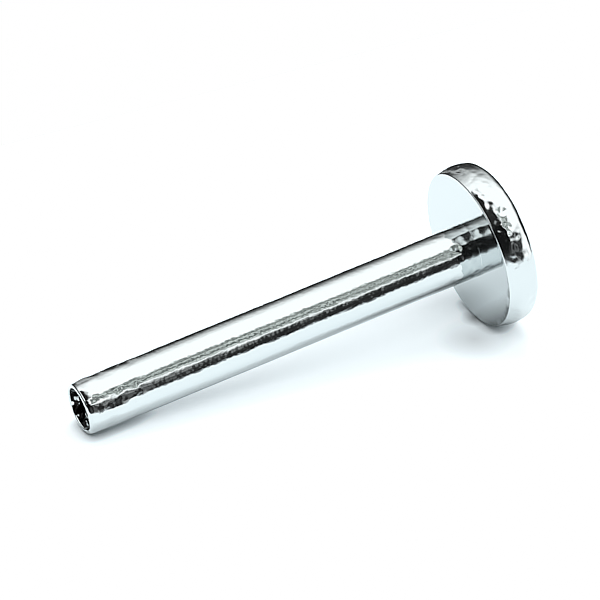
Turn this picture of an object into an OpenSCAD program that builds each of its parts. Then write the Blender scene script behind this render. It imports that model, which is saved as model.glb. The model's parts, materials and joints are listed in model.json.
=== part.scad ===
// Flat-back piercing stud: a round shaft with a disc at one end and a tapped hole at the other.
// It lies on a flat surface, on the disc's rim and on the lower edge of its mouth.

/* [Shaft] */
// Diameter of the shaft, 16 gauge
shaft_d = 1.2; // [1.1:0.05:1.6]
// Length from the disc's inner face to the mouth
shaft_len = 9.6; // [6:0.1:16]
// Rounding of the edge round the mouth
mouth_round = 0.06; // [0.02:0.01:0.08]
// Fillet where the shaft meets the disc
root_fillet = 0.04; // [0.02:0.01:0.1]

/* [Disc] */
// Diameter of the disc
disc_d = 3.7; // [3:0.1:5]
// Thickness of the disc
disc_t = 0.78; // [0.5:0.01:1]
// Rounding of the disc's back edge
back_round = 0.22; // [0.05:0.01:0.3]
// Rounding of the disc's edge on the shaft's side
inner_round = 0.03; // [0.01:0.01:0.1]

/* [Tapped hole] */
// Outer diameter of the thread
thread_d = 0.9; // [0.85:0.05:0.95]
// Pitch of the thread
thread_pitch = 0.225; // [0.2:0.025:0.25]
// Diameter of the drilled hole, which the tap follows
drill_d = 0.74; // [0.72:0.01:0.78]
// Depth of full thread below the mouth
thread_depth = 3; // [1:0.1:4]
// Depth of the drilled hole past the end of the thread
drill_past = 0.4; // [0.1:0.1:1]
// Diameter of the countersink at the mouth
countersink_d = 0.94; // [0.9:0.01:1]

/* [Hidden] */
$fn = 96;

shaft_r = shaft_d / 2;
disc_r = disc_d / 2;

// A 60 degree thread, an eighth of a pitch wide at its root. The drilled hole cuts its crests flat,
// which leaves them over half a pitch wide, as is usual in so small a hole.
half_angle = 30;
root_w = thread_pitch / 8;
thread_r = thread_d / 2;
drill_r = drill_d / 2;

// The thread is cut by a tooth swept along a helix, which starts just inside the drilled hole
tooth_in = 0.03;
tooth_r = drill_r - tooth_in;
tooth_w = root_w + 2 * (thread_r - tooth_r) * tan(half_angle);
tooth = [[tooth_r, -tooth_w / 2], [thread_r, -root_w / 2], [thread_r, root_w / 2], [tooth_r, tooth_w / 2]];
turn_steps = 24;
turns = ceil(thread_depth / thread_pitch) + 1;

drill_depth = thread_depth + drill_past;
drill_point_angle = 118;
drill_point = drill_r / tan(drill_point_angle / 2);
countersink_r = countersink_d / 2;
countersink_h = countersink_r - drill_r;
overrun = 0.2;

// At rest the shaft slopes from the disc down to the mouth, until the disc's inner edge and the
// mouth's lower edge both touch the surface. Each is an arc, so the slope follows from its centre.
rim_centre = [disc_r - inner_round, -inner_round];
mouth_centre = [shaft_r - mouth_round, shaft_len - mouth_round];
back_centre = [disc_r - back_round, back_round - disc_t];
span = mouth_centre - rim_centre;
rest_angle = atan(-span.x / span.y) - asin((mouth_round - inner_round) / norm(span));

// The frame's origin is under the middle of the lying stud
rest_z = rim_centre.x * cos(rest_angle) + rim_centre.y * sin(rest_angle) + inner_round;
mouth_x = -mouth_centre.y * cos(rest_angle) - mouth_centre.x * sin(rest_angle) - mouth_round;
back_x = -back_centre.y * cos(rest_angle) + back_centre.x * sin(rest_angle) + back_round;
rest_x = -(mouth_x + back_x) / 2;

// The round of an edge in a section, as the whole circle about its centre
module edge_round(centre, r) {
    translate(centre) circle(r);
}

// The shaft's section: X is the distance from the axis, and Y is the distance from the disc's inner face
module shaft_section() {
    square([shaft_r, mouth_centre.y]);
    square([mouth_centre.x, shaft_len]);
    edge_round(mouth_centre, mouth_round);
}

module disc_section() {
    translate([0, -disc_t]) square([back_centre.x, disc_t]);
    translate([0, -disc_t / 2]) square([rim_centre.x, disc_t / 2]);
    translate([0, back_centre.y]) square([disc_r, rim_centre.y - back_centre.y]);
    edge_round(back_centre, back_round);
    edge_round(rim_centre, inner_round);
}

module fillet_section() {
    difference() {
        square([shaft_r + root_fillet, root_fillet]);
        translate([shaft_r + root_fillet, root_fillet]) circle(root_fillet);
    }
}

module turned_body() {
    rotate_extrude() {
        shaft_section();
        disc_section();
        fillet_section();
    }
}

// The drilled hole with its pointed floor and its countersink, mouth at the origin, going down
module drilled_hole() {
    translate([0, 0, -drill_depth]) {
        cylinder(r = drill_r, h = drill_depth + overrun);
        translate([0, 0, -drill_point]) cylinder(r1 = 0, r2 = drill_r, h = drill_point);
    }
    translate([0, 0, -countersink_h])
        cylinder(r1 = drill_r, r2 = countersink_r + overrun, h = countersink_h + overrun);
}

// The helical cut of the thread, mouth at the origin, going down
module thread_cut() {
    steps = turns * turn_steps;
    points = [for (i = [0 : steps], corner = tooth)
        let (turn = 360 * i / turn_steps, rise = thread_pitch * i / turn_steps - thread_depth)
        [corner.x * cos(turn), corner.x * sin(turn), corner.y + rise]];
    sides = [for (i = [0 : steps - 1], k = [0 : 3])
        let (a = 4 * i + k, b = 4 * i + (k + 1) % 4)
        each [[a, b, a + 4], [b, b + 4, a + 4]]];
    polyhedron(points, concat([[3, 2, 1, 0]], sides, [[4 * steps, 4 * steps + 1, 4 * steps + 2, 4 * steps + 3]]));
}

module flat_back_post() {
    color("silver")
        translate([rest_x, 0, rest_z])
        rotate([0, -90 - rest_angle, 0])
        difference() {
            turned_body();
            translate([0, 0, shaft_len]) {
                drilled_hole();
                thread_cut();
            }
        }
}

flat_back_post();
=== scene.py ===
# %% [markdown]
# # A flat-back piercing stud
# The stud is turned from one bar of surgical steel: a thin round post with a flat disc at one end. The
# other end is drilled and tapped, so that a small top can be screwed in once the post is through the skin.
# Here it lies on a white table, on the rim of its disc and on the edge of its mouth.
#
# The construction model already has the true sizes and the place of every face. It is loaded first, and
# all that is made below is laid over it. Blender works in metres and a stud is only a centimetre long, so
# the sizes in this lesson are written in millimetres, and MM turns them into metres.

# %% Load the construction model
import json
import math
import random

import bpy
import numpy as np
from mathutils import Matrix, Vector, noise


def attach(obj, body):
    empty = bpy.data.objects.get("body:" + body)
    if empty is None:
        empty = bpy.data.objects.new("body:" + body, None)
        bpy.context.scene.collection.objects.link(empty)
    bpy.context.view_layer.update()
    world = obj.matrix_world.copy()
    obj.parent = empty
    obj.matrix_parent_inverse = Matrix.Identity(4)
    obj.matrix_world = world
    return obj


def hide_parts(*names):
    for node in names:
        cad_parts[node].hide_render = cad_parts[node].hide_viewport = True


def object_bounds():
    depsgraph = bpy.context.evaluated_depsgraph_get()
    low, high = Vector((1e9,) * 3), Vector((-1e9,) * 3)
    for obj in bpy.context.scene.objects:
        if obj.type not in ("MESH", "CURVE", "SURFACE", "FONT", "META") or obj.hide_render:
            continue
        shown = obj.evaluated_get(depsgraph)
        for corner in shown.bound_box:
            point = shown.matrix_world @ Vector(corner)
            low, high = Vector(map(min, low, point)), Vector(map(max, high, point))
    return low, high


MM = 0.001

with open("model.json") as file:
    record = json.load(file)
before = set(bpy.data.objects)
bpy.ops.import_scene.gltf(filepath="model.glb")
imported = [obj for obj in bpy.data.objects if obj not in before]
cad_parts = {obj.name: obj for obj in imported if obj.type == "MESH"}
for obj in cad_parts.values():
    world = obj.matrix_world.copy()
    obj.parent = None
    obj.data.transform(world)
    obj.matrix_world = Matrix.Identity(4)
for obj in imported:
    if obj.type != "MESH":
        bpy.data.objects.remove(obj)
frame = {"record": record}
cad_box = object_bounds()
print("construction model, mm:", [round(side / MM, 2) for side in cad_box[1] - cad_box[0]])

# %% [markdown]
# ## Where the stud lies
# A lathe part has one axis, and every size on it is either a distance along that axis or a distance from
# it. The axis could be measured on the loaded model, but the record of the part gives it exactly: each
# place where something fastens has a point and a direction. From two of those places we build three arrows
# of length one: up, to the side, and along the post to its mouth. Any point on the stud is then three plain
# numbers, and one function brings it into the scene.

# %% The axis of the lathe
DISC_THICKNESS = 0.78

mounts = {mount["name"]: mount for mount in frame["record"]["mounts"]}
to_mouth = Vector(mounts["shaft"]["axis"])
upward = Vector((to_mouth.z, 0, -to_mouth.x))
sideways = Vector((0, 1, 0))
inner_face_centre = Vector(mounts["disc_back"]["pos_m"]) + to_mouth * DISC_THICKNESS * MM


def in_scene(points):
    """Points on the stud, as (up, side, along) in millimetres, brought to their places in the scene."""
    return np.array(inner_face_centre) + points * MM @ np.array([upward, sideways, to_mouth])


slope = math.degrees(math.asin(-to_mouth.z))
print(f"the post slopes down to its mouth by {slope:.2f} degrees")

# %% [markdown]
# ## The camera
# The camera comes early, because every later choice is judged through it. The photo was taken from a short
# way off with a long lens, looking down by about a third of a right angle. A camera can be moved by eye
# until the outlines agree, but errors of a few pixels stay. This one is worked out from what was measured:
# the lens, the two angles of the view, the distance, and one point of the stud whose pixel we know.

# %% Camera
IMAGE_SIDE = 600
LENS = 240
SENSOR = 36
VIEW_DOWN = math.radians(31.94)
VIEW_TURNED = math.radians(28.09)
CAMERA_DEPTH = 88.16
INNER_FACE_PIXEL = (467.8, 250.3)

focal_pixels = LENS / SENSOR * IMAGE_SIDE
looking = Vector(
    (
        math.sin(VIEW_TURNED) * math.cos(VIEW_DOWN),
        math.cos(VIEW_TURNED) * math.cos(VIEW_DOWN),
        -math.sin(VIEW_DOWN),
    )
)
right = Vector((math.cos(VIEW_TURNED), -math.sin(VIEW_TURNED), 0))
above = right.cross(looking)
pixels_right = INNER_FACE_PIXEL[0] - IMAGE_SIDE / 2
pixels_up = IMAGE_SIDE / 2 - INNER_FACE_PIXEL[1]
to_inner_face = looking + right * pixels_right / focal_pixels + above * pixels_up / focal_pixels

camera_data = bpy.data.cameras.new("photo_camera")
camera_data.lens = LENS
camera_data.sensor_width = SENSOR
camera_data.clip_start = 0.001
camera_data.clip_end = 2
camera = bpy.data.objects.new("photo_camera", camera_data)
camera.location = inner_face_centre - to_inner_face * CAMERA_DEPTH * MM
camera.rotation_euler = looking.to_track_quat("-Z", "Y").to_euler()
bpy.context.scene.collection.objects.link(camera)
bpy.context.scene.camera = camera
print("camera at, mm:", [round(value / MM, 1) for value in camera.location])

# %% [markdown]
# ## The outline that the lathe turns
# A turned part could be made with a Screw modifier, or from a few joined cylinders. Both give a perfect
# shape, and a perfect shape looks like plastic when it is polished: a mirror shows every ripple that the
# buffing wheel leaves. So the stud is built ring by ring in code. First comes the clean outline, one short
# list of rings for each stretch of it, and only then are the ripples and dents added.
#
# A ring is kept as its place along the axis and its distance from the axis, both from the middle of the
# disc's inner face. A rounded edge is an arc of such rings.

# %% Sizes of the outline
POST_RADIUS = mounts["shaft"]["dims"]["r_mm"]
POST_LENGTH = 9.6
DISC_RADIUS = (cad_box[1].y - cad_box[0].y) / 2 / MM


def arc(along, radius, size, start, end, steps):
    """Points of a round edge. The angle is 0 along the axis to the mouth, and 90 away from the axis."""
    angles = np.radians(np.linspace(start, end, steps))
    return [(along + size * math.cos(a), radius + size * math.sin(a)) for a in angles]


print(f"post {2 * POST_RADIUS:.2f} mm thick, disc {2 * DISC_RADIUS:.2f} mm wide")

# %% [markdown]
# ### The disc
# The rim of the disc isn't a straight cylinder. The wheel rounds it like a barrel: it leans towards the
# post near the inner face, is fullest halfway back, and leans away behind that. In a mirror the lean
# matters more than the size, so the lean is what is written down here, in degrees, at five places. Adding
# up its slope step by step gives the radius. Two arcs close the rim, a crisp one in front and a large one
# behind. The rings of the inner face stop just short of the post, whose fillet starts from the same face.

# %% Rings of the disc
RIM_LEAN = {"from_face": [0.03, 0.15, 0.28, 0.42, 0.62], "degrees": [18, 14, 7, -4, -11]}
RIM_SWELL = 0.018
RIM_RINGS = 26
INNER_ROUND = 0.035
BACK_ROUND = 0.22
BACK_FROM = 0.15
FACE_TO = 0.7
BEFORE_ARC = 0.01

front_lean, back_lean = RIM_LEAN["degrees"][0], RIM_LEAN["degrees"][-1]
rim_front = INNER_ROUND * (1 - math.sin(math.radians(front_lean)))
rim_back = DISC_THICKNESS - BACK_ROUND * (1 - math.sin(math.radians(-back_lean)))
from_face = np.linspace(rim_front, rim_back, RIM_RINGS)
lean = np.radians(np.interp(from_face, RIM_LEAN["from_face"], RIM_LEAN["degrees"]))
rise = np.concatenate([[0], np.cumsum(np.tan((lean[1:] + lean[:-1]) / 2) * np.diff(from_face))])
rim_radius = DISC_RADIUS + RIM_SWELL + rise - rise.max()

back_centre = rim_radius[-1] - BACK_ROUND * math.cos(math.radians(back_lean))
front_centre = rim_radius[0] - INNER_ROUND * math.cos(math.radians(front_lean))
back_radii = np.linspace(BACK_FROM, back_centre - BEFORE_ARC, 9)
face_radii = np.linspace(front_centre - BEFORE_ARC, FACE_TO, 10)
outline_back = [(-DISC_THICKNESS, radius) for radius in back_radii]
outline_rim = arc(BACK_ROUND - DISC_THICKNESS, back_centre, BACK_ROUND, 180, 90 - back_lean, 16)
outline_rim += list(zip(-from_face[::-1][1:-1], rim_radius[::-1][1:-1]))
outline_rim += arc(-INNER_ROUND, front_centre, INNER_ROUND, 90 - front_lean, 0, 9)
outline_face = [(0, radius) for radius in face_radii]
disc_rings = outline_back + outline_rim + outline_face
print(f"disc: {len(disc_rings)} rings, rim lower by {rise.max():.3f} mm at its front edge")

# %% [markdown]
# ### The post
# The post is a hair thinner in its middle than at its ends, where the wheel reaches less. At its root a
# small fillet runs into the disc, and at its mouth the edge is one round bead: it eases out of the side,
# goes over the lip and down into the hole. A bead like that has a dark and a bright line of its own, and
# they show where the metal ends. The swell could be drawn as a spline. A short table whose rows are joined
# by curves with level ends does the same, and its numbers can be read.

# %% Swell of the post
POST_FORM = {
    "along": [0.0, 0.9, 1.7, 4.8, 8.4, 9.6],
    "swell": [0.020, 0.018, 0.012, 0.007, 0.007, 0.008],
}


def smooth_table(at, places, values):
    """Values between the rows of a short table, joined by curves with level ends."""
    step = np.clip(np.searchsorted(places, at, side="right") - 1, 0, len(places) - 2)
    places, values = np.array(places), np.array(values)
    share = np.clip((at - places[step]) / (places[step + 1] - places[step]), 0, 1)
    share = share * share * (3 - 2 * share)
    return values[step] + (values[step + 1] - values[step]) * share


middle_swell = smooth_table(POST_LENGTH / 2, POST_FORM["along"], POST_FORM["swell"])
print(f"swell: {POST_FORM['swell'][0]:.3f} mm at the root, {middle_swell:.3f} mm in the middle")

# %% Rings of the post
ROOT_FILLET = 0.004
LIP_EASE = 1.6
LIP_LEAN = 11
LIP_ROUND = 0.07
LIP_INNER_ROUND = 0.03
LIP_INNER_ANGLE = -75
AFTER_ARC = 0.002
FINE_STEP = 0.025
MIDDLE_STEP = 0.05
MIDDLE_FROM = 1.0
MIDDLE_TO = 8.2

lip_along = POST_LENGTH - LIP_ROUND
ease_along = lip_along + (LIP_ROUND - LIP_EASE) * math.sin(math.radians(LIP_LEAN))
lip_centre = POST_RADIUS - LIP_EASE + (LIP_EASE - LIP_ROUND) * math.cos(math.radians(LIP_LEAN))
straight = np.concatenate(
    [
        [ROOT_FILLET + AFTER_ARC],
        np.arange(ROOT_FILLET + 0.02, MIDDLE_FROM, FINE_STEP),
        np.arange(MIDDLE_FROM, MIDDLE_TO, MIDDLE_STEP),
        np.arange(MIDDLE_TO, ease_along, FINE_STEP),
    ]
)
outline_post = [(0, POST_RADIUS + ROOT_FILLET + AFTER_ARC)]
outline_post += arc(ROOT_FILLET, POST_RADIUS + ROOT_FILLET, ROOT_FILLET, 180, 270, 4)
outline_post += [(along, POST_RADIUS) for along in straight]
outline_post += arc(ease_along, POST_RADIUS - LIP_EASE, LIP_EASE, 90, 90 - LIP_LEAN, 7)[:-1]
outline_post += arc(lip_along, lip_centre, LIP_ROUND, 90 - LIP_LEAN, 0, 10)[:-1]
outline_post += arc(POST_LENGTH - LIP_INNER_ROUND, lip_centre, LIP_INNER_ROUND, 0, LIP_INNER_ANGLE, 7)
post_rings = [
    (along, radius + float(smooth_table(along, POST_FORM["along"], POST_FORM["swell"])))
    for along, radius in outline_post
]
print(f"post: {len(post_rings)} rings")

# %% [markdown]
# ### The tapped hole
# A thread is a helix, not a stack of grooves, and beside a lip this bright the difference shows at once. A
# Screw modifier could wind it, but its end would have to be sewn to the lip by hand. On a ring inside the
# hole the radius changes with the angle instead: the groove reaches each point a little further down than
# the last, by one pitch for each turn. It has flat flanks and a narrow floor, and between two grooves the
# wall of the drilled hole is left standing as the crest.

# %% Rings of the hole
DRILL_RADIUS = mounts["top_thread"]["dims"]["r_mm"]
THREAD_RADIUS = 0.45
THREAD_PITCH = 0.225
THREAD_DEPTH = 3.0
FLANK_ANGLE = math.radians(30)
HOLE_DEPTH = 3.4
DRILL_POINT_ANGLE = math.radians(59)
LEAD_IN = 0.35
BORE_SIDES = 80
RINGS_PER_PITCH = 18
DEEP_RINGS_PER_PITCH = 9
DEEP_FROM = 0.9

lip_end_along, lip_end_radius = post_rings[-1]
lip_depth = POST_LENGTH - lip_end_along


def hole_radius(depth, turn):
    """The hole's radius at a depth below the mouth. The angle is given as turns, from 0 to 1."""
    phase = ((THREAD_DEPTH - depth) / THREAD_PITCH - turn + 0.5) % 1 - 0.5
    from_floor = np.abs(phase) * THREAD_PITCH - THREAD_PITCH / 16
    groove = THREAD_RADIUS - np.maximum(from_floor, 0) / math.tan(FLANK_ANGLE)
    fade = np.clip((THREAD_DEPTH - depth) / (THREAD_PITCH / 2), 0, 1)
    threaded = np.maximum(DRILL_RADIUS, DRILL_RADIUS + (groove - DRILL_RADIUS) * fade)
    return np.maximum(threaded, lip_end_radius - (depth - lip_depth) * LEAD_IN)


bore_turns = np.arange(BORE_SIDES) / BORE_SIDES
fine_depths = np.arange(lip_depth + 0.006, DEEP_FROM, THREAD_PITCH / RINGS_PER_PITCH)
deep_depths = np.arange(DEEP_FROM, THREAD_DEPTH + 0.02, THREAD_PITCH / DEEP_RINGS_PER_PITCH)
depths = np.concatenate([fine_depths, deep_depths])
bore_rings = [(POST_LENGTH - depth, hole_radius(depth, bore_turns)) for depth in depths]
bore_rings += [
    (POST_LENGTH - HOLE_DEPTH - (DRILL_RADIUS - radius) / math.tan(DRILL_POINT_ANGLE), radius)
    for radius in (DRILL_RADIUS, DRILL_RADIUS * 0.66, DRILL_RADIUS * 0.33)
]
drill_tip = POST_LENGTH - HOLE_DEPTH - DRILL_RADIUS / math.tan(DRILL_POINT_ANGLE)
print(f"hole: {len(bore_rings)} rings, {THREAD_DEPTH / THREAD_PITCH:.1f} turns of thread")

# %% [markdown]
# ### From rings to points
# All rings go into one list of points, from the middle of the disc's back round the outside and down to
# the tip of the drilled hole. The disc needs more points round each ring than the thin post, and the post
# more than the hole, so that a mirror never shows a corner. The faces have to wait: the marks of polishing
# move the points first.

# %% Points of every ring
DISC_SIDES = 480
POST_SIDES = 160

rings = [(along, radius, DISC_SIDES) for along, radius in disc_rings]
rings += [(along, radius, POST_SIDES) for along, radius in post_rings]
rings += [(along, radius, BORE_SIDES) for along, radius in bore_rings]

laid = [np.array([[0, 0, -DISC_THICKNESS]])]
ring_starts = []
for along, radius, sides in rings:
    turn = np.arange(sides) / sides * 2 * math.pi
    ring_starts.append(sum(len(ring) for ring in laid))
    laid.append(np.stack([radius * np.cos(turn), radius * np.sin(turn), np.full(sides, along)], axis=1))
laid.append(np.array([[0, 0, drill_tip]]))
points = np.concatenate(laid)
print(f"{len(points)} points on {len(rings)} rings")

# %% [markdown]
# ## The marks of polishing and of wear
# Seen in a mirror, a slope of one degree is plain to see, although the metal is raised by less than a
# hundredth of a millimetre. Two kinds of unevenness show on the stud. Long shallow ripples run with the
# post, because it was polished along its length. Small dents sit on the rim of the disc, at the root of the
# post and near its mouth, where studs knock together in their tray.
#
# A Displace modifier could do both, but it can't be told where the post ends. Here the points are moved in
# or out along the surface's own direction. The ripples come from smooth noise that is stretched along the
# axis. The dents are soft round hollows, and their places are drawn by chance from one fixed seed, so that
# they are the same each time.

# %% Directions out of the surface
def outward_directions(points, ring_starts, rings):
    """For every point the direction out of the smooth outline, from the rings before and after its own."""
    flat_radius = [float(np.mean(radius)) for _, radius, _ in rings]
    outline = np.array([(along, radius) for (along, _, _), radius in zip(rings, flat_radius)])
    steps = np.gradient(outline, axis=0)
    steps /= np.maximum(np.linalg.norm(steps, axis=1, keepdims=True), 1e-9)
    outward = np.zeros_like(points)
    for (_, _, sides), first, (step_along, step_out) in zip(rings, ring_starts, steps):
        turn = np.arange(sides) / sides * 2 * math.pi
        outward[first : first + sides, 0] = step_along * np.cos(turn)
        outward[first : first + sides, 1] = step_along * np.sin(turn)
        outward[first : first + sides, 2] = -step_out
    return outward


outward = outward_directions(points, ring_starts, rings)
post_points = slice(ring_starts[len(disc_rings)], ring_starts[len(disc_rings) + len(post_rings)])
rim_points = slice(ring_starts[len(outline_back)], ring_starts[len(outline_back) + len(outline_rim)])
print(f"free to move: {len(points[rim_points])} points on the rim, {len(points[post_points])} on the post")

# %% Ripples along the post
RIPPLE_FORM = {
    "along": [0.0, 0.5, 1.2, 7.6, 8.9, 9.6],
    "height": [0.0050, 0.0040, 0.0020, 0.0022, 0.0055, 0.0050],
}


def stretched_noise(places, length, width, seed):
    """Smooth noise from -1 to 1 at (up, side, along), with lumps of that length and width."""
    scaled = places / np.array([width, width, length]) + seed
    return np.array([noise.noise(Vector(place)) for place in scaled])


on_post = points[post_points]
ripple_height = smooth_table(on_post[:, 2], RIPPLE_FORM["along"], RIPPLE_FORM["height"])
ripple = stretched_noise(on_post, 0.9, 0.30, 3.7) + 0.9 * stretched_noise(on_post, 0.22, 0.11, 11.3)
points[post_points] += outward[post_points] * (ripple_height * ripple)[:, None]
print(f"ripples: {np.ptp(ripple_height * ripple) * 1000:.1f} micrometres from lowest to highest")

# %% Tools for dents
DENT_SEED = 58


def dents(count, radius, stretch, crowding, widths, slopes):
    """Each dent as its middle (up, side, along), its width and its depth."""
    draw = random.Random(DENT_SEED)
    nearest, farthest = stretch
    for _ in range(count):
        turn = draw.uniform(0, 2 * math.pi)
        along = nearest + (farthest - nearest) * draw.betavariate(*crowding)
        width = draw.uniform(*widths)
        middle = np.array([radius * math.cos(turn), radius * math.sin(turn), along])
        yield middle, width, width * draw.uniform(*slopes)


def sunk_by(dent_list, places):
    """How far each place is pressed in."""
    sunk = np.zeros(len(places))
    for middle, width, depth in dent_list:
        distance = np.linalg.norm(places - middle, axis=1)
        sunk += depth * np.exp(-((distance / width) ** 2))
    return sunk


print(f"the dents are drawn from seed {DENT_SEED}")

# %% Dents and rolled places on the rim
RIM_ROLL = 0.007

rim_dents = dents(
    count=240,
    radius=DISC_RADIUS,
    stretch=(-0.06, -0.72),
    crowding=(2.0, 2.6),
    widths=(0.03, 0.08),
    slopes=(0.04, 0.14),
)
on_rim = points[rim_points]
sunk = sunk_by(rim_dents, on_rim)
rolling = stretched_noise(on_rim, 0.16, 0.36, 5.1) + 0.4 * stretched_noise(on_rim, 0.09, 0.12, 8.6)
points[rim_points] -= outward[rim_points] * (sunk + RIM_ROLL * rolling)[:, None]
print(f"dents on the rim: the deepest {sunk.max() * 1000:.0f} micrometres")

# %% Dents on the post
root_dents = dents(
    count=150,
    radius=POST_RADIUS,
    stretch=(0.03, 0.9),
    crowding=(1.0, 1.6),
    widths=(0.03, 0.08),
    slopes=(0.03, 0.10),
)
mouth_dents = dents(
    count=120,
    radius=POST_RADIUS,
    stretch=(9.5, 8.0),
    crowding=(1.0, 1.6),
    widths=(0.05, 0.13),
    slopes=(0.02, 0.07),
)
sunk = sunk_by(root_dents, on_post) + sunk_by(mouth_dents, on_post)
points[post_points] -= outward[post_points] * sunk[:, None]
print(f"dents on the post: the deepest {sunk.max() * 1000:.0f} micrometres")

# %% [markdown]
# ## The skin of the stud
# The real stud is one piece of metal, so the mesh is one closed skin. Two neighbouring rings are joined by
# four-sided faces. Where a finer ring meets a coarser one, a Bridge tool would leave thin triangles, which
# show in a mirror. Here each face simply takes the extra points of the finer side. The faces are shaded
# smooth everywhere, because the rings are dense enough to hold even the crisp edge of the disc.

# %% Join the rings
def faces_between(first, sides, next_first, next_sides):
    """Faces from one ring to the next, which may have a whole number of times more or fewer points."""
    coarse = min(sides, next_sides)
    a, b = sides // coarse, next_sides // coarse
    made = []
    for i in range(coarse):
        near = [first + (i * a + k) % sides for k in range(a + 1)]
        far = [next_first + (i * b + k) % next_sides for k in range(b + 1)]
        made.append(near + far[::-1])
    return made


faces = [[0, 1 + (i + 1) % DISC_SIDES, 1 + i] for i in range(DISC_SIDES)]
faces_outside = 0
for number in range(len(rings) - 1):
    if number == len(disc_rings) + len(post_rings):
        faces_outside = len(faces)
    sides, next_sides = rings[number][2], rings[number + 1][2]
    faces += faces_between(ring_starts[number], sides, ring_starts[number + 1], next_sides)
last, tip = ring_starts[-1], len(points) - 1
faces += [[tip, last + i, last + (i + 1) % BORE_SIDES] for i in range(BORE_SIDES)]
print(f"{faces_outside} faces outside, {len(faces) - faces_outside} in the hole")

# %% Make the stud
stud_mesh = bpy.data.meshes.new("stud")
stud_mesh.from_pydata(in_scene(points).tolist(), [], faces)
stud_mesh.validate()
stud_mesh.polygons.foreach_set("use_smooth", [True] * len(stud_mesh.polygons))
stud_mesh.update()
stud = bpy.data.objects.new("flat_back_stud", stud_mesh)
bpy.context.scene.collection.objects.link(stud)
print(f"stud: {sum(len(face) - 2 for face in faces)} triangles")

# %% [markdown]
# ## Polished steel
# Steel has hardly any colour of its own: what we see is its surroundings. The finish therefore comes from
# two things, how sharp the mirror is and how uneven the skin is below the size of the mesh. A picture of
# scratches could give both, but this close to the lens its pixels would show. Noise has none. It moves the
# roughness a little from place to place, and as a bump of under two thousandths of a millimetre it gives
# the fine grain. The disc's flat faces have less grain than the post, and a slightly softer mirror.

# %% Material tools
def add_node(tree, kind, settings=None, **inputs):
    """A new node. Settings are its own options. Inputs, by name or as i and a number, are values or links."""
    family = "CompositorNode" if tree.bl_idname == "CompositorNodeTree" else "ShaderNode"
    made = tree.nodes.new(family + kind)
    for name, value in (settings or {}).items():
        setattr(made, name, value)
    for name, value in inputs.items():
        by_number = name[0] == "i" and name[1:].isdigit()
        socket = made.inputs[int(name[1:]) if by_number else name]
        if isinstance(value, bpy.types.NodeSocket):
            tree.links.new(value, socket)
        else:
            socket.default_value = value
    return made


def calculated(tree, operation, first, second=0.0, third=0.0):
    """The result of a Math node."""
    return add_node(tree, "Math", {"operation": operation}, i0=first, i1=second, i2=third).outputs[0]


def ranged(tree, value, low, high, to_low, to_high, curve="LINEAR"):
    """A value that goes from one level to another while the input goes from low to high."""
    limits = {"From Min": low, "From Max": high, "To Min": to_low, "To Max": to_high}
    return add_node(tree, "MapRange", {"interpolation_type": curve}, Value=value, **limits).outputs[0]


def new_material(name):
    """An empty node material, with its tree and its Principled shader."""
    material = bpy.data.materials.new(name)
    material.use_nodes = True
    tree = material.node_tree
    print("material:", name)
    return material, tree, tree.nodes["Principled BSDF"]


def lathe_coordinates(tree):
    """The place on the stud in millimetres, turned so that X runs along the post to the disc."""
    place = add_node(tree, "TexCoord").outputs["Object"]
    tilt = (0, -math.radians(slope), 0)
    turned = add_node(tree, "Mapping", {"vector_type": "TEXTURE"}, Vector=place, Rotation=tilt).outputs[0]
    return add_node(tree, "VectorMath", {"operation": "SCALE"}, Vector=turned, Scale=1 / MM).outputs[0]


# %% Polished steel
STEEL = (0.66, 0.70, 0.705, 1)
GRAIN_LENGTH = 0.08
GRAIN_WIDTH = 0.065
GRAIN_HEIGHT = 0.0018
GRAIN_ON_DISC = 0.3
MIRROR_HAZE = (0.05, 0.10)
DISC_HAZE = 0.035


def polished_steel():
    material, tree, shader = new_material("polished_steel")
    place = lathe_coordinates(tree)
    along = add_node(tree, "SeparateXYZ", Vector=place).outputs["X"]

    fineness = (1 / GRAIN_LENGTH, 1 / GRAIN_WIDTH, 1 / GRAIN_WIDTH)
    grain_place = add_node(tree, "Mapping", Vector=place, Scale=fineness).outputs[0]
    grain = add_node(tree, "TexNoise", Vector=grain_place, Scale=1.0, Detail=0.0).outputs[0]
    less_on_disc = ranged(tree, along, 3.4, 4.2, 1.0, GRAIN_ON_DISC)
    bump = add_node(tree, "Bump", Height=grain, Strength=less_on_disc, Distance=GRAIN_HEIGHT * MM)

    cloud = add_node(tree, "TexNoise", Vector=place, Scale=2.2, Detail=2.0).outputs[0]
    haze = ranged(tree, cloud, 0.35, 0.65, *MIRROR_HAZE)
    disc_haze = ranged(tree, along, 4.2, 4.3, 0.0, DISC_HAZE)
    shader.inputs["Base Color"].default_value = STEEL
    shader.inputs["Metallic"].default_value = 1
    tree.links.new(calculated(tree, "ADD", haze, disc_haze), shader.inputs["Roughness"])
    tree.links.new(bump.outputs[0], shader.inputs["Normal"])
    return material


stud_mesh.materials.append(polished_steel())

# %% [markdown]
# ### The steel in the hole
# No wheel reaches the thread. The tap leaves it rough. Its near-black colour is partly the cutting oil that
# stays in it and partly painted shade, for the deep hole that little light reaches. Only where a burr was
# torn off does bare steel flash. One dark colour for the whole hole would look painted, so noise with a hard
# edge lets the bare steel through in small spots. The faces of the hole are the last ones that were made, so
# their numbers tell which faces get this material.

# %% Oiled steel with painted shade, and bare steel in the hole
# Near-black: partly the cutting oil, partly painted shade of the deep hole.
OIL_AND_SHADE = (0.012, 0.012, 0.012, 1)
TORN_HEIGHT = 0.004
BURRS_AT = (8.22, 12.66, 4.38)
BURR_LEVELS = (0.56, 0.60)


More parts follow.
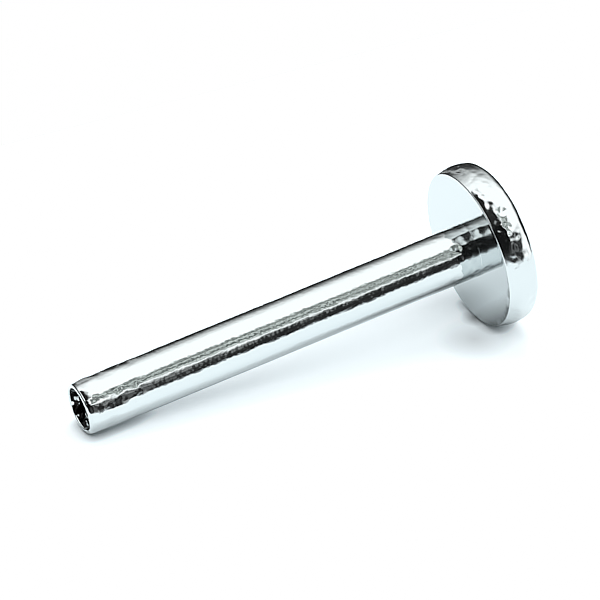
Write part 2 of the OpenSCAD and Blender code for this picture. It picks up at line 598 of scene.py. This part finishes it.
def tapped_steel():
    material, tree, shader = new_material("tapped_steel")
    place = lathe_coordinates(tree)
    torn = add_node(tree, "TexNoise", Vector=place, Scale=18.0, Detail=3.0).outputs[0]
    bump = add_node(tree, "Bump", Height=torn, Strength=1.0, Distance=TORN_HEIGHT * MM)
    burr_place = add_node(tree, "VectorMath", {"operation": "ADD"}, i0=place, i1=BURRS_AT).outputs[0]
    burr = add_node(tree, "TexNoise", Vector=burr_place, Scale=7.0, Detail=1.0).outputs[0]
    bare = ranged(tree, burr, *BURR_LEVELS, 0.0, 1.0)
    # Painted shade of the hole: the near-black oiled colour, with bare steel let through in small spots.
    colour = add_node(tree, "Mix", {"data_type": "RGBA"}, Factor=bare, i6=OIL_AND_SHADE, i7=STEEL).outputs[2]
    tree.links.new(colour, shader.inputs["Base Color"])
    shader.inputs["Metallic"].default_value = 1
    shader.inputs["Roughness"].default_value = 0.10
    tree.links.new(bump.outputs[0], shader.inputs["Normal"])
    return material


stud_mesh.materials.append(tapped_steel())

# %% Give each face its finish
finish_of_faces = np.zeros(len(stud_mesh.polygons), dtype=np.int32)
finish_of_faces[faces_outside:] = 1
stud_mesh.polygons.foreach_set("material_index", finish_of_faces)

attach(stud, "root")
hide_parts("flat_back_post")
print(f"{np.count_nonzero(finish_of_faces == 0)} polished faces, {finish_of_faces.sum()} oiled faces")

# %% [markdown]
# ## The white table
# The stud lies on a sheet of white acrylic. Light sinks into such a sheet and comes out again a little way
# off, so its shadows are pale, a little blue, and really dark only where something touches it. True
# scattering in a large sheet would be slow and noisy. A weak glow does the same, if it is taken away where
# the sheet is covered, and the Ambient Occlusion node measures just that.
#
# The photo holds the table twice: as the lens saw it, and in the mirror of the steel. In the mirror it is
# much darker round the stud, because its white isn't exposed to the limit there. No single shade can match
# both, but the Light Path node knows whether a ray comes from the lens or from the steel. So each shade
# below has a size and a strength for both. The sheet ends close behind the stud, because the rim of the
# disc mirrors what lies there, and a longer sheet would lay a white streak on it.

# %% Shades on the table
# Each pair is the radius of a shade, and the share of the light that is left in its middle.
SHADES = {
    "under the rim": {"at": (4.54, 0.0), "mirrored": (0.15, 0.50), "seen": (0.36, 0.40)},
    "under the mouth": {"at": (-4.95, 0.0), "mirrored": (0.40, 0.12), "seen": (0.20, 0.12)},
    "in front of the disc": {"at": (4.08, -0.75), "mirrored": (0.90, 1.00), "seen": (0.90, 0.70)},
}
POST_SHADE_X = (3.9, -1.6)
POST_SHADE_BEHIND_X = (4.4, 5.2)
POST_SHADE_Y = -0.60
POST_SHADE_HALF_WIDTH = 0.85
POST_SHADE_LIGHT = 0.24


def shade_of_post(tree, place, seen):
    """The light left by the long shade below the post, which only the steel sees."""
    parts = add_node(tree, "SeparateXYZ", Vector=place).outputs
    ahead = ranged(tree, parts["X"], *POST_SHADE_X, 0.0, 1.0)
    behind = ranged(tree, parts["X"], *POST_SHADE_BEHIND_X, 0.0, 1.0)
    aside = calculated(tree, "SUBTRACT", parts["Y"], POST_SHADE_Y)
    aside = calculated(tree, "DIVIDE", aside, POST_SHADE_HALF_WIDTH)
    away = add_node(tree, "CombineXYZ", X=ahead, Y=aside, Z=behind).outputs[0]
    away = add_node(tree, "VectorMath", {"operation": "LENGTH"}, i0=away).outputs["Value"]
    darkest = ranged(tree, seen, 0.0, 1.0, POST_SHADE_LIGHT, 1.0)
    return ranged(tree, away, 0.0, 1.0, darkest, 1.0)


def round_shade(tree, place, seen, shade):
    """The light left by a round shade, from its middle out to its radius."""
    radius = ranged(tree, seen, 0.0, 1.0, shade["mirrored"][0], shade["seen"][0])
    darkest = ranged(tree, seen, 0.0, 1.0, shade["mirrored"][1], shade["seen"][1])
    away = add_node(tree, "VectorMath", {"operation": "DISTANCE"}, i0=place, i1=(*shade["at"], 0))
    away = calculated(tree, "DIVIDE", away.outputs["Value"], radius)
    return ranged(tree, away, 0.0, 1.0, darkest, 1.0)


print("shades:", ", ".join(SHADES), "and below the post")

# %% Paint of the table
TABLE_PAINT = (0.68, 0.72, 0.74)
TABLE_GLOW = (0.33, 0.36, 0.375)
COVER_SEEN = 0.22
COVER_MIRRORED = 0.90


def white_acrylic():
    material, tree, shader = new_material("white_table")
    seen = add_node(tree, "LightPath").outputs["Is Camera Ray"]
    place = add_node(tree, "TexCoord").outputs["Object"]
    place = add_node(tree, "VectorMath", {"operation": "SCALE"}, i0=place, Scale=1 / MM).outputs[0]
    light = shade_of_post(tree, place, seen)
    for shade in SHADES.values():
        light = calculated(tree, "MULTIPLY", light, round_shade(tree, place, seen, shade))

    reach = ranged(tree, seen, 0.0, 1.0, COVER_MIRRORED * MM, COVER_SEEN * MM)
    cover = add_node(tree, "AmbientOcclusion", {"samples": 12}, Distance=reach)
    open_share = calculated(tree, "POWER", cover.outputs["AO"], 2.0)
    glow_share = calculated(tree, "MULTIPLY", open_share, light)
    glow = add_node(tree, "VectorMath", {"operation": "SCALE"}, i0=TABLE_GLOW, Scale=glow_share)
    paint = add_node(tree, "VectorMath", {"operation": "SCALE"}, i0=TABLE_PAINT, Scale=light)
    tree.links.new(paint.outputs[0], shader.inputs["Base Color"])
    shader.inputs["Roughness"].default_value = 0.9
    shader.inputs["Specular IOR Level"].default_value = 0.0
    shader.inputs["Emission Strength"].default_value = 1.0
    tree.links.new(glow.outputs[0], shader.inputs["Emission Color"])
    return material


acrylic = white_acrylic()

# %% Sheet of the table
TABLE_HALF_WIDTH = 35
TABLE_NEAR = -35
TABLE_FAR = 12

table_corners = [
    (-TABLE_HALF_WIDTH * MM, TABLE_NEAR * MM, 0),
    (TABLE_HALF_WIDTH * MM, TABLE_NEAR * MM, 0),
    (TABLE_HALF_WIDTH * MM, TABLE_FAR * MM, 0),
    (-TABLE_HALF_WIDTH * MM, TABLE_FAR * MM, 0),
]
table_mesh = bpy.data.meshes.new("table")
table_mesh.from_pydata(table_corners, [], [(0, 1, 2, 3)])
table_mesh.materials.append(acrylic)
table = bpy.data.objects.new("table", table_mesh)
bpy.context.scene.collection.objects.link(table)
print(f"table: {2 * TABLE_HALF_WIDTH} by {TABLE_FAR - TABLE_NEAR} mm")

# %% [markdown]
# ## The lamps
# Two soft round lamps hang over the table, a weaker one a little behind the stud and a stronger one in
# front of it. The shadow that we see in front of the post comes from the first and is filled by the second.
# A sun lamp would be simpler, but its one shadow would be hard. Polished steel would show the lamps as two
# white discs, and the room painted below already has its bright ceiling, so both are hidden from
# reflections and only light the table.

# %% Lamps
LAMP_WIDTH = 110


def add_lamp(name, place, power):
    """A round lamp at a place in millimetres, facing the stud, which the steel doesn't show."""
    lamp_data = bpy.data.lights.new(name, "AREA")
    lamp_data.shape = "DISK"
    lamp_data.size = LAMP_WIDTH * MM
    lamp_data.energy = power
    lamp = bpy.data.objects.new(name, lamp_data)
    lamp.location = Vector(place) * MM
    lamp.rotation_euler = (-Vector(place)).to_track_quat("-Z", "Y").to_euler()
    lamp.visible_glossy = False
    bpy.context.scene.collection.objects.link(lamp)
    print(f"{name}: {power} W")


add_lamp("lamp_behind", (15, 45, 150), 0.07)
add_lamp("lamp_in_front", (-40, -80, 145), 0.13)

# %% [markdown]
# ## The room in the mirror
# What makes polished steel look like steel is the dark in it. A studio picture wrapped round the scene has
# its darks too, but not where this photo has them. So the room is painted on the world instead, as a
# function of the direction, and each stripe on the post can be put where it belongs: dark walls up to about
# a third of the way, a bright soft ceiling over them, a grey panel in the ceiling, and the black camera
# with its arm.
#
# A direction is an arrow of length one, and its own X, Y and Z are all the painting needs. +Z is up, and
# the camera stands towards -X and -Y. Two tools do the painting: a soft step from 0 to 1, and a mix.

# %% The direction as an arrow
world = bpy.data.worlds.new("studio")
bpy.context.scene.world = world
world.use_nodes = True
sky = world.node_tree
sky.nodes.clear()
arrow = add_node(sky, "TexCoord").outputs["Generated"]
arrow_x, arrow_y, arrow_z = add_node(sky, "SeparateXYZ", Vector=arrow).outputs
elevation = calculated(sky, "ARCSINE", arrow_z)
print("world:", world.name)

# %% Tools for the room
NEUTRAL = (0.985, 1.0, 1.0)


def soft_step(value, low, high):
    """0 below low, 1 above high, and a smooth rise between them. With low over high it falls instead."""
    return ranged(sky, value, low, high, 0.0, 1.0, "SMOOTHSTEP")


def between(value, limits, soft):
    """1 between two limits, 0 outside them, with a soft edge at both."""
    over_low = soft_step(value, limits[0] - soft, limits[0] + soft)
    over_high = soft_step(value, limits[1] - soft, limits[1] + soft)
    return calculated(sky, "SUBTRACT", over_low, over_high)


def both(first, second):
    """The share where two painted shapes overlap."""
    return calculated(sky, "MULTIPLY", first, second)


def mixed(share, under, over):
    """One colour over another, by share."""
    return add_node(sky, "Mix", {"data_type": "RGBA"}, Factor=share, i6=under, i7=over).outputs[2]


def blotches(scale, detail, low, high):
    """Soft blotches from 0 to 1, because no real wall is one flat grey."""
    cloud = add_node(sky, "TexNoise", Vector=arrow, Scale=scale, Detail=detail).outputs[0]
    return soft_step(cloud, low, high)


def grey(level, tint=NEUTRAL):
    """A grey of the room, as a colour."""
    return (level * tint[0], level * tint[1], level * tint[2], 1)


print("middle grey of the room:", [round(part, 3) for part in grey(0.5)])

# %% [markdown]
# ### Walls and ceiling
# The edge between wall and ceiling is the line along the top of the post. Behind the stud it is wide and
# soft, and towards the camera it gets sharp, so both its height and its softness change with the arrow's Y.
# A lighter stretch of wall to the right gives the grey mirror at the post's root, and past it a window
# opens, as white as the ceiling.

# %% Walls and ceiling
CEILING = 1.47
WALL_EDGE = math.radians(35)
WALL_EDGE_BY_Y = math.radians(2.6)
WALL_SOFT = math.radians(16.9)
WALL_SOFT_BY_Y = math.radians(16.4)
DARK_WALL = (0.026, 0.080)
LIGHT_WALL = (0.13, 0.48)
LIGHT_WALL_X = (0.13, 0.250)
LIGHT_WALL_SOFT = 0.03
WINDOW_X = 0.56
WINDOW_Y = -0.42
WINDOW_SOFT = 0.10

wall_edge = calculated(sky, "MULTIPLY_ADD", arrow_y, WALL_EDGE_BY_Y, WALL_EDGE)
wall_soft = calculated(sky, "MULTIPLY_ADD", arrow_y, WALL_SOFT_BY_Y, WALL_SOFT)
edge_low = calculated(sky, "SUBTRACT", wall_edge, wall_soft)
edge_high = calculated(sky, "ADD", wall_edge, wall_soft)
wall = mixed(blotches(7.0, 2.0, 0.4, 0.65), grey(DARK_WALL[0]), grey(DARK_WALL[1]))
light_wall = mixed(blotches(7.0, 2.0, 0.4, 0.6), grey(LIGHT_WALL[0]), grey(LIGHT_WALL[1]))
wall = mixed(between(arrow_x, LIGHT_WALL_X, LIGHT_WALL_SOFT), wall, light_wall)
window = both(
    soft_step(arrow_x, WINDOW_X - WINDOW_SOFT, WINDOW_X + WINDOW_SOFT),
    soft_step(arrow_y, WINDOW_Y + WINDOW_SOFT, WINDOW_Y - WINDOW_SOFT),
)
wall = mixed(window, wall, grey(CEILING))
room = mixed(soft_step(elevation, edge_low, edge_high), wall, grey(CEILING))
print(f"the ceiling is {CEILING / DARK_WALL[0]:.0f} times as bright as the darkest wall")

# %% [markdown]
# ### The grey panel, the camera and its arm
# The stripe along the middle of the post is a grey panel in the ceiling. Its blotches turn into the grain
# of the stripe, because a round post squeezes whatever it mirrors into thin lines. The black band is the
# camera, a round shape about the point of view, and the arm that holds it, a bar between two points of the
# arrow's X and Y.

# %% Grey panel in the ceiling
PANEL_X = (0.02, 0.36)
PANEL_Y = (-0.75, -0.31)
PANEL_SOFT = 0.04
PANEL_DARK = grey(0.20, (0.90, 1.0, 0.95))
PANEL_LIGHT = grey(0.91, (0.94, 1.0, 0.96))

panel = both(between(arrow_x, PANEL_X, PANEL_SOFT), between(arrow_y, PANEL_Y, PANEL_SOFT))
room = mixed(panel, room, mixed(blotches(11.0, 1.0, 0.36, 0.66), PANEL_DARK, PANEL_LIGHT))
print(f"the panel's green goes from {PANEL_DARK[1]:.2f} to {PANEL_LIGHT[1]:.2f}")

# %% Camera and its arm
CAMERA_SIZE = 24
CAMERA_SOFT = 3
CAMERA_BLACK = grey(0.010)
ARM_BLACK = grey(0.026, (1.0, 0.97, 0.93))
ARM_START = Vector((-0.25, -0.36, 0))
ARM_END = Vector((-0.37, 0.37, 0))
ARM_HALF_WIDTH = 0.20
ARM_SOFT = 0.05


def measured_along(start, way):
    """How far the arrow reaches from a start point, measured along one way."""
    from_start = add_node(sky, "VectorMath", {"operation": "SUBTRACT"}, i0=arrow, i1=start).outputs[0]
    reach = add_node(sky, "VectorMath", {"operation": "DOT_PRODUCT"}, i0=from_start, i1=way)
    return reach.outputs["Value"]


towards_camera = measured_along(Vector((0, 0, 0)), -looking)
outer_edge = math.cos(math.radians(CAMERA_SIZE + CAMERA_SOFT))
inner_edge = math.cos(math.radians(CAMERA_SIZE - CAMERA_SOFT))
room = mixed(soft_step(towards_camera, outer_edge, inner_edge), room, CAMERA_BLACK)

arm_length = (ARM_END - ARM_START).length
arm_way = (ARM_END - ARM_START) / arm_length
arm_across = arm_way.cross(Vector((0, 0, 1)))
arm = both(
    between(measured_along(ARM_START, arm_way), (-ARM_HALF_WIDTH, arm_length), ARM_SOFT),
    between(measured_along(ARM_START, arm_across), (-ARM_HALF_WIDTH, ARM_HALF_WIDTH), ARM_SOFT),
)
room = mixed(arm, room, ARM_BLACK)
print(f"camera {2 * CAMERA_SIZE} degrees across, arm {arm_length:.2f} long")

# %% [markdown]
# ### The front of the sheet, and the plain background
# The lower half of the post mirrors the table and what lies in front of it. A sheet that ended sharply
# there would cut the black band off with a saw-toothed line, so its white is carried on in the world and
# fades out softly at the horizon. What the lens itself sees past the sheet is plain white, which is the
# Light Path node's work again.

# %% Front of the sheet and background
FRONT_EDGE = math.radians(-0.4)
FRONT_SOFT = math.radians(5.5)
FRONT_NONE_Y = -0.1
FRONT_FULL_Y = -0.4
SHEET_LIGHT = (1.13, 1.20, 1.24, 1)
PLAIN_WHITE = (1, 1, 1, 1)

sheet = both(
    soft_step(elevation, FRONT_EDGE + FRONT_SOFT, FRONT_EDGE - FRONT_SOFT),
    soft_step(arrow_y, FRONT_NONE_Y, FRONT_FULL_Y),
)
room = mixed(sheet, room, SHEET_LIGHT)
room = mixed(add_node(sky, "LightPath").outputs["Is Camera Ray"], room, PLAIN_WHITE)
background = add_node(sky, "Background", Color=room, Strength=1.0).outputs[0]
add_node(sky, "OutputWorld", Surface=background)
print(f"the room is painted with {len(sky.nodes)} nodes")

# %% [markdown]
# ## Colours and sharpness of the picture
# Plain Standard colours keep white as white. The photo is sharpened, as most pictures of small goods are,
# and without that our steel would look softer than the steel in the photo. Sharpening works best on
# colours as a screen stores them, so the picture is first lifted by its gamma and cut off at white, then
# sharpened a little, and at last let down again.

# %% Colours and sharpness of the picture
SHARPENING = 0.10
PRINT_GAMMA = 2.2

scene = bpy.context.scene
scene.view_settings.view_transform = "Standard"
scene.use_nodes = True
picture = scene.node_tree
picture.nodes.clear()

image = add_node(picture, "RLayers").outputs["Image"]
image = add_node(picture, "Gamma", Image=image, Gamma=1 / PRINT_GAMMA).outputs[0]
image = add_node(picture, "MixRGB", {"blend_type": "DARKEN"}, i1=image, i2=PLAIN_WHITE).outputs[0]
image = add_node(picture, "Filter", {"filter_type": "SHARPEN"}, Image=image, Fac=SHARPENING).outputs[0]
image = add_node(picture, "Gamma", Image=image, Gamma=PRINT_GAMMA).outputs[0]
add_node(picture, "Composite", Image=image)
print(f"sharpened by {SHARPENING:.2f}")
